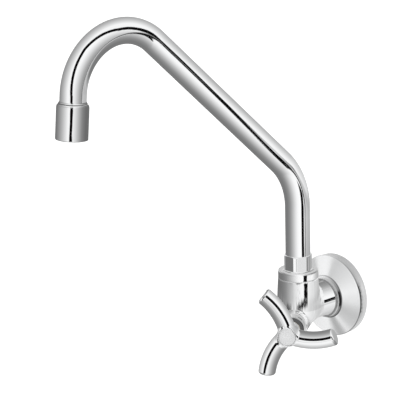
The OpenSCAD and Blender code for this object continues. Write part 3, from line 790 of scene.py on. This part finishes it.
# %% Floor
def make_floor(height, size):
    mesh = bpy.data.meshes.new("floor")
    corners = [(x * size, y * size, height) for x, y in ((-1, -1), (1, -1), (1, 1), (-1, 1))]
    mesh.from_pydata(corners, [], [(0, 1, 2, 3)])
    floor = place_in_scene("floor", mesh)
    material, tree, shader = new_material("pale_floor")
    shader.inputs["Base Color"].default_value = (0.86, 0.86, 0.86, 1)
    shader.inputs["Roughness"].default_value = 0.9
    glow = add(tree, "ShaderNodeEmission", Strength=0.5)
    both = add(tree, "ShaderNodeAddShader")
    seen = add(tree, "ShaderNodeLightPath")
    mix = add(tree, "ShaderNodeMixShader")
    wire(tree, (shader, 0, both, 0), (glow, 0, both, 1), (seen, "Is Camera Ray", mix, 0),
         (shader, 0, mix, 1), (both, 0, mix, 2),
         (mix, 0, tree.nodes["Material Output"], "Surface"))
    mesh.materials.append(material)
    floor.visible_glossy = False
    return floor


FLOOR_HEIGHT, FLOOR_SIZE = -0.6, 6.0
make_floor(FLOOR_HEIGHT, FLOOR_SIZE)
print("white world, and a floor at", FLOOR_HEIGHT, "m")

# %% [markdown]
# ### What the surround has to show
#
# Each form should be mirrored the same way from side to side: soft grey, white, one dark
# line, white and light grey. That makes a round bar read as round. For points on a form
# the camera's ray is mirrored and followed to the surround, and the shade that it should
# meet there is noted.

# %% Mirrored rays
SURROUND_R = 2500.0
SURROUND_AT = np.array((0, -WALL_GAP, 60.0))
EYE_AT = np.array(EYE / MM)
GROUPS = {"neck": ("swan_neck",), "outlet": ("outlet_sleeve",), "handle": ("handle_arms",),
          "body": ("tap_body",), "collar": ("collar",), "fittings": ("spout_nut_hex", "button"),
          "rest": ()}
wanted = {group: [] for group in GROUPS}


def unit(a):
    return a / np.linalg.norm(a, axis=-1, keepdims=True)


def want(group, points, normals, shades, area):
    """Notes the shades wanted where the camera sees the surround in these points; area is
    the part of the form, in square mm, that each point stands for."""
    view = unit(EYE_AT - points)
    ray = 2 * (normals * view).sum(-1, keepdims=True) * normals - view
    start = points - SURROUND_AT
    b = (start * ray).sum(-1)
    reach = -b + np.sqrt(b * b - (start * start).sum(-1) + SURROUND_R ** 2)
    at = unit(start + reach[..., None] * ray).reshape(-1, 3)
    shades = np.broadcast_to(shades, points.shape[:-1]).ravel()
    wanted[group].append(np.column_stack([at, shades, np.broadcast_to(area, shades.shape)]))


# %% Shades of a round bar
ACROSS = np.linspace(-0.985, 0.985, 320)
WHITE, LINE = 0.97, 0.05


def bar_shades(dark, half, grey, edge, fall):
    """Shades from side to side. The dark line lies at dark, half wide to each side; the
    shade is grey on the first side and falls to edge on the other, from fall on."""
    dark, half, edge, fall = (np.reshape(x, (-1, 1)) for x in (dark, half, edge, fall))
    first = grey + (WHITE - grey) * np.interp(
        ACROSS, (-1, -0.8, -0.6, -0.4, -0.2, 0, 0.2), (0, 0, 0.16, 0.45, 0.73, 0.94, 1))
    second = 0.94 + (edge - 0.94) * np.clip((ACROSS - fall) / (1 - fall), 0, 1)
    shade = np.where(ACROSS < dark, first, second)
    return np.where(np.abs(ACROSS - dark) < half, LINE, shade)


def want_bar(group, line, radius, tilt=0.0, shade=None, care=1.0, **shades):
    """Wants the shades of a round bar along the whole line, which is in mm, or one shade
    where the bar's surface leans by tilt along it. Its first side counts care times."""
    line = np.array(line, float)
    along = unit(np.gradient(line, axis=0))
    view = unit(EYE_AT - line)
    facing = unit(view - (view * along).sum(-1, keepdims=True) * along)
    lean = np.arcsin(ACROSS)[None, :, None]
    normals = facing[:, None] * np.cos(lean) + np.cross(along, facing)[:, None] * np.sin(lean)
    tilt = math.radians(tilt)
    start = line[:, None] + radius * normals
    normals = normals * math.cos(tilt) + along[:, None] * math.sin(tilt)
    step = np.linalg.norm(line[1] - line[0])
    look = bar_shades(**shades) if shade is None else np.full((1, 1), shade)
    care = 1 + (np.reshape(care, (-1, 1)) - 1) * (ACROSS < -0.3)
    area = step * radius * (ACROSS[1] - ACROSS[0]) * np.broadcast_to(care, normals.shape[:2])
    want(group, start, normals, np.broadcast_to(look, normals.shape[:2]), area.ravel())


def evenly(line, step):
    """The line with points every step mm."""
    made = [line[0]]
    for a, b in zip(line, line[1:]):
        count = max(1, round((b - a).length / step))
        made += [a + (b - a) * k / count for k in range(1, count + 1)]
    return made


# %% The spout's shades
neck_line = evenly([path[0] + Vector((0, 0, NUT_TOP - TUBE_FOOT))] + path[1:-1]
                   + [outlet_top + outlet_z * 2.0], 1.0)
gone = np.arange(len(neck_line))
want_bar("neck", neck_line, TUBE_R, grey=0.46,
         half=np.interp(gone, (0, 55, 66, 76, 250, 280, 360),
                        (0.095, 0.10, 0.15, 0.115, 0.115, 0.09, 0.085)),
         dark=np.interp(gone, (0, 39, 60, 67, 74, 82, 102, 122, 142, 163, 185, 205, 227, 249, 260,
                               272, 284, 296, 309, 323, 337, 351, 360),
                        (0.41, 0.40, 0.39, 0.31, 0.13, 0.10, 0.13, 0.215, 0.265, 0.295, 0.305, 0.325,
                         0.33, 0.24, 0.12, 0.075, 0.21, 0.31, 0.24, 0.12, 0.02, -0.04, -0.05)),
         care=np.where(gone > 250, 1.5, 1.0),
         edge=np.interp(gone, (0, 39, 85, 253, 345, 381), (0.90, 0.86, 0.62, 0.62, 0.46, 0.42)),
         fall=np.interp(gone, (0, 39, 85, 253, 345, 381), (0.6, 0.6, 0.5, 0.48, 0.38, 0.3)))
shell_line = [outlet_top + outlet_z * k for k in range(0, 30)]
for tilt in (-50, -35, -20, -10, -5, 0, 5):
    want_bar("outlet", shell_line, SHELL_R, tilt=tilt, half=0.08, grey=0.41, dark=0.06,
             edge=0.40, fall=0.25)
for tilt in (24, 27, 30):
    want_bar("outlet", shell_line, SHELL_R - 1.6, tilt=tilt, shade=0.34)
print("neck:", len(wanted["neck"][0]), "wishes along", len(neck_line), "mm")


# %% The handle's and the branch's shades
def arm_line(turn):
    mid = Vector((ARM_REACH / 2, ARM_CURVE * math.cos(HALF_SWEEP), 0))
    made = []
    for k in range(8, 33):
        a = -math.pi / 2 - HALF_SWEEP + 2 * HALF_SWEEP * k / 32
        p = mid + ARM_CURVE * Vector((math.cos(a), math.sin(a), 0))
        p = Matrix.Rotation(turn, 3, "Z") @ p
        made.append(headwork @ (p + Vector((0, 0, ARM_PLANE))))
    return evenly(made, 0.5)


for turn, dark in zip(ARM_TURNS, ((-0.02, -0.04), (0.28, 0.12), (0.24, 0.28))):
    line = arm_line(turn)
    want_bar("handle", line, ARM_R, half=0.14, grey=0.50, edge=0.63, fall=0.5,
             dark=np.linspace(*dark, len(line)))
want_bar("body", [Vector((0, -y / 2, 0)) for y in range(60, 34, -1)], BRANCH_R,
         dark=0.25, half=0.085, grey=0.52, edge=0.72, fall=0.5)
seam = [Vector((0, -WALL_GAP, SEAM_Z + k)) for k in range(7)]
for tilt in (0, 25, 50, 75):
    want_bar("collar", seam, BARREL_TOP_R, tilt=tilt, dark=0.35, half=0.085, grey=0.45,
             edge=0.62, fall=0.7)
want_bar("collar", seam, BARREL_TOP_R, tilt=-40, shade=0.30)
print("handle:", sum(len(w) for w in wanted["handle"]), "wishes")


# %% The body's shades
# In pixels of the render: its size, the part of it that shows the body, the dark line down
# the body and half its width, and the barrel's middle and half width
RENDER_SIZE = 400
BODY_VIEW = ((277, 274), (320, 322))
DARK_LINE, LINE_HALF = ((305.8, 270), (306.0, 301.4), (297.0, 312.0)), 1.75
BARREL_X, BARREL_HALF = 298, 21
# In mm from the camera: where the body begins and ends
BODY_NEAR, BODY_FAR = 1700.0, 1860.0


def camera_points(low, high, step):
    """Rays through the render between two of its pixels, as x, y and direction."""
    x, y = np.meshgrid(np.arange(low[0], high[0], step), np.arange(low[1], high[1], step))
    middle, lens = RENDER_SIZE / 2, camera.data.lens / camera.data.sensor_width * RENDER_SIZE
    local = np.stack([(x - middle) / lens, (middle - y) / lens, -np.ones(x.shape)], -1)
    rays = unit(local.reshape(-1, 3)) @ np.array(camera.matrix_world.to_3x3()).T
    return x.ravel(), y.ravel(), rays


def first_met(field, rays, near, far, steps=60):
    """Where the rays meet the form first; the last value says which of them do."""
    reach = np.full(len(rays), near)
    for _ in range(steps):
        reach += 0.9 * np.minimum(field(EYE_AT + rays * reach[:, None]), 8.0)
        reach = np.minimum(reach, far)
    points = EYE_AT + rays * reach[:, None]
    return points, unit(slope_of(field, points, 0.05)), np.abs(field(points)) < 0.05


def off_line(x, y, line):
    """Distance of points of the render from a line through the given points."""
    best = np.full(x.shape, 1e9)
    for (ax, ay), (bx, by) in zip(line, line[1:]):
        t = np.clip(((x - ax) * (bx - ax) + (y - ay) * (by - ay))
                    / ((bx - ax) ** 2 + (by - ay) ** 2), 0, 1)
        best = np.minimum(best, np.hypot(x - ax - t * (bx - ax), y - ay - t * (by - ay)))
    return best


x, y, rays = camera_points(*BODY_VIEW, 0.4)
points, normals, met = first_met(body_field, rays, BODY_NEAR, BODY_FAR)
side = (x - BARREL_X) / BARREL_HALF
left = np.interp(side, (-1, -0.8, -0.6, -0.4, -0.2, 0, 0.2),
                 (0.40, 0.44, 0.52, 0.66, 0.81, 0.91, 0.95))
right = np.interp(side, (0.4, 0.6, 1), (0.94, 0.88, 0.76))
dark = off_line(x, y, DARK_LINE) < LINE_HALF
shade = np.where(dark, LINE, np.where(side < 0.35, left, right))
keep = met & (points[:, 1] < -30)
weight = np.where(dark, 3.0, np.where(side < -0.35, 1.8, 0.3))
want("body", points[keep], normals[keep], shade[keep], weight[keep])
print("body:", keep.sum(), "wishes")


# %% Flats and the flange
def want_flat(group, at, normal, shade, area, spread=0.02):
    """Wants one shade in a flat face, and a little beside it."""
    normal = np.array(normal, float)
    tilt = np.stack(np.meshgrid(*[np.linspace(-spread, spread, 9)] * 3), -1).reshape(-1, 3)
    normals = unit(normal + tilt)
    want(group, np.broadcast_to(np.array(at, float), normals.shape), normals, shade,
         area / len(normals))


NUT_MIDDLE, FLAT_AREA, CORNER_AREA = 38.0, 120, 20
NUT_FLATS = ((-30, 0.85), (-90, 0.44), (30, 0.62), (-150, 0.66))
NUT_CORNERS = ((-78, 0.30), (-66, 0.97), (-60, 0.97), (-54, 0.97), (-42, 0.70), (-16, 0.40),
               (0, 0.70), (-120, 0.55))
for sides, radius, area in ((NUT_FLATS, NUT_FLAT_R, FLAT_AREA),
                            (NUT_CORNERS, NUT_CORNER_R - 0.25, CORNER_AREA)):
    for turn, shade in sides:
        outward = Matrix.Rotation(math.radians(turn), 3, "Z") @ Vector((1, 0, 0))
        want_flat("fittings", radius * outward + Vector((0, -WALL_GAP, NUT_MIDDLE)), outward,
                  shade, area)
want_flat("fittings", (0, -WALL_GAP, NUT_TOP), (0, 0, 1), 0.85, 80, 0.2)
want_flat("fittings", headwork @ Vector((0, 0, BUTTON_TOP - 1)), headwork.col[2][:3], 0.88, 200,
          0.25)
want_flat("collar", (0, -WALL_GAP - 14, COLLAR_TOP), (0, 0, 1), 0.76, 80, 0.1)

round_wall = np.radians(np.arange(0, 360, 0.5))
radial = np.stack([np.cos(round_wall), 0 * round_wall, np.sin(round_wall)], -1)
room_side = np.array((0, -1.0, 0))


def want_ring(radius, height, tilt, area, turns, shades, spread=1.5):
    """Wants shades round a turned face of the flange, whose normal leans by tilt."""
    shade = np.interp(np.degrees(round_wall), turns, shades, period=360)
    for lean in np.radians(np.linspace(tilt - spread, tilt + spread, 7)):
        normals = radial * math.cos(lean) + room_side * math.sin(lean)
        want("rest", radial * radius + room_side * height, normals, shade, area / 7 / len(radial))


# In turn: the flange's cone and rim, the shroud, the rim's round edge, the flange's neck
want_ring(25, 10.8, 74.1, 2500,
          (-94, -86, -72, -62, -54, -40, -20, -8, 2, 18, 34, 50, 80, 84, 96, 115, 122, 180),
          (0.92, 0.90, 0.66, 0.70, 0.90, 0.78, 0.74, 0.80, 0.89, 0.94, 0.89, 0.84, 0.78, 0.92,
           0.94, 0.92, 0.75, 0.85))
want_ring(FLANGE_R - 0.2, 4, -3.4, 1600, (-80, -50, -10, 20, 42, 80, 100, 120),
          (0.66, 0.78, 0.76, 0.87, 0.74, 0.70, 0.86, 0.93))
for n in range(18, 27, 2):
    want_bar("rest", [headwork @ Vector((0, 0, n + k)) for k in (-0.5, 0.5)], SHROUD_R,
             dark=-0.1, half=0.22, grey=0.35, edge=0.45, fall=0.3)
for tilt in (25, 40, 55):
    want_ring(FLANGE_R - 0.2, 8.0, tilt, 300, (-80, -30, 20, 60, 100, 140),
              (0.30, 0.32, 0.36, 0.5, 0.8, 0.8), spread=7)
for tilt in (0.6, 6, 12, 18, 24, 30, 36, 42):
    want_ring(FLANGE_NECK_R, 14.5, tilt, 1500, (-60, -24, -20, -15, -14, 25, 26, 32, 60, 100),
              (0.62, 0.55, 0.5, 0.3, LINE, LINE, 0.3, 0.55, 0.66, 0.92), spread=3)
print("rest:", sum(len(w) for w in wanted["rest"]), "wishes")

# %% [markdown]
# The wishes are gathered in a grid of one degree. A cell is dark where half of its wishes
# are, and otherwise takes the mean of the others. Gaps are filled from their surroundings,
# and wide ones show the room beyond.

# %% Painting a surround
ROWS, COLUMNS, BLACK, STRIP_TURN, DARK_SHARES = 180, 360, 0.03, 143, (0.3, 0.5)
ROW_ANGLES = np.arange(ROWS)[:, None] - 89.5
COLUMN_ANGLES = np.arange(COLUMNS)[None, :] + 0.5


def blurred(grid, reach):
    """Sums over squares of the last two axes; the grid closes round from side to side."""
    steps = range(-reach, reach + 1)
    wide = sum(np.roll(grid, k, -1) for k in steps)
    rows = np.arange(ROWS)
    return sum(wide[..., np.clip(rows + k, 0, ROWS - 1), :] for k in steps)


def far_room():
    """Shades of the rest of the room: walls that are white on two sides and grey between,
    with one dark strip, a pale ceiling and a greyer floor."""
    from_white = np.abs((COLUMN_ANGLES - STRIP_TURN + 90) % 180 - 90)
    walls = 0.96 - 0.44 * np.clip((from_white - 8) / 60, 0, 1)
    walls = np.where(np.abs(COLUMN_ANGLES - STRIP_TURN) < 4, BLACK, walls)
    up = np.clip((ROW_ANGLES - 35) / 30, 0, 1)
    down = np.clip((-ROW_ANGLES - 50) / 30, 0, 1)
    return walls * (1 - up) * (1 - down) + 0.92 * up + 0.66 * down


def gather(wishes, soft=2):
    """The shades of a whole surround, from rows of direction, shade and weight."""
    at, shade, weight = wishes[:, :3], wishes[:, 3], wishes[:, 4]
    row = np.clip((np.degrees(np.arcsin(np.clip(at[:, 2], -1, 1))) + 90).astype(int), 0, ROWS - 1)
    column = (np.degrees(np.arctan2(at[:, 1], at[:, 0])) + 360).astype(int) % COLUMNS
    dark = shade < 0.1
    cells = np.zeros((3, ROWS, COLUMNS))
    for k, part in enumerate((weight * ~dark, weight * ~dark * shade, weight * dark)):
        np.add.at(cells[k], (row, column), part)
    made, share = far_room(), np.zeros((ROWS, COLUMNS))
    known, marked = np.zeros((2, ROWS, COLUMNS), bool)
    for reach in (0, 1, 2, 4):
        light, sums, black = blurred(cells, reach)
        for grid, done, part, whole in ((made, known, sums, light),
                                        (share, marked, black, light + black)):
            new = ~done & (whole > 0)
            grid[new] = part[new] / whole[new]
            done |= new
    made = blurred(made, soft) / (2 * soft + 1) ** 2
    t = np.interp(share, DARK_SHARES, (0, 1))
    print("cells asked for:", int((cells.sum(0) > 0).sum()), "of", ROWS * COLUMNS)
    return made * (1 - t) + BLACK * t


# %% [markdown]
# The cloths hang one behind the other. Each lets rays pass and adds its light only for
# its own pieces, which light linking sees to. The last one stops the ray. The pieces
# don't show in each other, as in pictures that are put together from such exposures.

# %% Hanging the surrounds
def cloth_material(name, thin):
    """Glows by the mesh's own shade. A thin cloth also lets every ray pass."""
    material, tree, _ = new_material(name)
    tree.nodes.clear()
    shade = add(tree, "ShaderNodeAttribute", attribute_name="shade")
    glow = add(tree, "ShaderNodeEmission", Color=(1, 1, 1, 1))
    out = add(tree, "ShaderNodeOutputMaterial")
    wire(tree, (shade, "Fac", glow, "Strength"), (glow, 0, out, "Surface"))
    if thin:
        clear = add(tree, "ShaderNodeBsdfTransparent", Color=(1, 1, 1, 1))
        both = add(tree, "ShaderNodeAddShader")
        wire(tree, (glow, 0, both, 0), (clear, 0, both, 1), (both, 0, out, "Surface"))
    material.cycles.emission_sampling = "NONE"
    return material


def ball_mesh():
    high, turn = np.radians(ROW_ANGLES), np.radians(COLUMN_ANGLES)
    ball = np.stack([np.cos(high) * np.cos(turn), np.cos(high) * np.sin(turn),
                     np.sin(high) + 0 * turn], -1).reshape(-1, 3)
    number = np.arange(ROWS * COLUMNS).reshape(ROWS, COLUMNS)
    after = np.roll(number, -1, 1)
    faces = np.stack([number[:-1], number[1:], after[1:], after[:-1]], -1).reshape(-1, 4)
    mesh = bpy.data.meshes.new("surround")
    mesh.from_pydata((ball * SURROUND_R * MM).tolist(), [],
                     faces.tolist() + [number[0].tolist(), number[-1, ::-1].tolist()])
    return mesh


PLATING_RETURNS = 0.85


def hang(group, mesh, shades, size, material, receivers):
    """Hangs a surround whose light only the receivers get. A shade is what the render
    shows, so it is turned into light, and raised by what the plating swallows."""
    mesh.name = group + "_surround"
    linear = ((shades.ravel() + 0.055) / 1.055) ** 2.4 / PLATING_RETURNS
    mesh.attributes.new("shade", "FLOAT", "POINT").data.foreach_set("value", linear)
    mesh.materials.append(material)
    surround = place_in_scene(mesh.name, mesh)
    surround.location, surround.scale = SURROUND_AT * MM, (size,) * 3
    for kind in ("camera", "diffuse", "shadow", "transmission", "volume_scatter"):
        setattr(surround, "visible_" + kind, False)
    lit = bpy.data.collections.new(group + "_pieces")
    for thing in receivers:
        lit.objects.link(thing)
    surround.light_linking.receiver_collection = lit
    print(surround.name, "lights", len(receivers), "objects")


solids = [thing for thing in bpy.data.objects if thing.type == "MESH"]
for thing in solids:
    thing.visible_glossy = False
alone = [name for names in GROUPS.values() for name in names]
ball = ball_mesh()
sheer, plain = cloth_material("sheer_cloth", True), cloth_material("plain_cloth", False)
for k, (group, names) in enumerate(GROUPS.items()):
    receivers = [t for t in solids if t.name in names or not names and t.name not in alone]
    hang(group, ball.copy(), gather(np.concatenate(wanted[group])), 1 + 0.01 * k,
         sheer if names else plain, receivers)

# %% Closing
bpy.context.scene.view_settings.view_transform = "Standard"
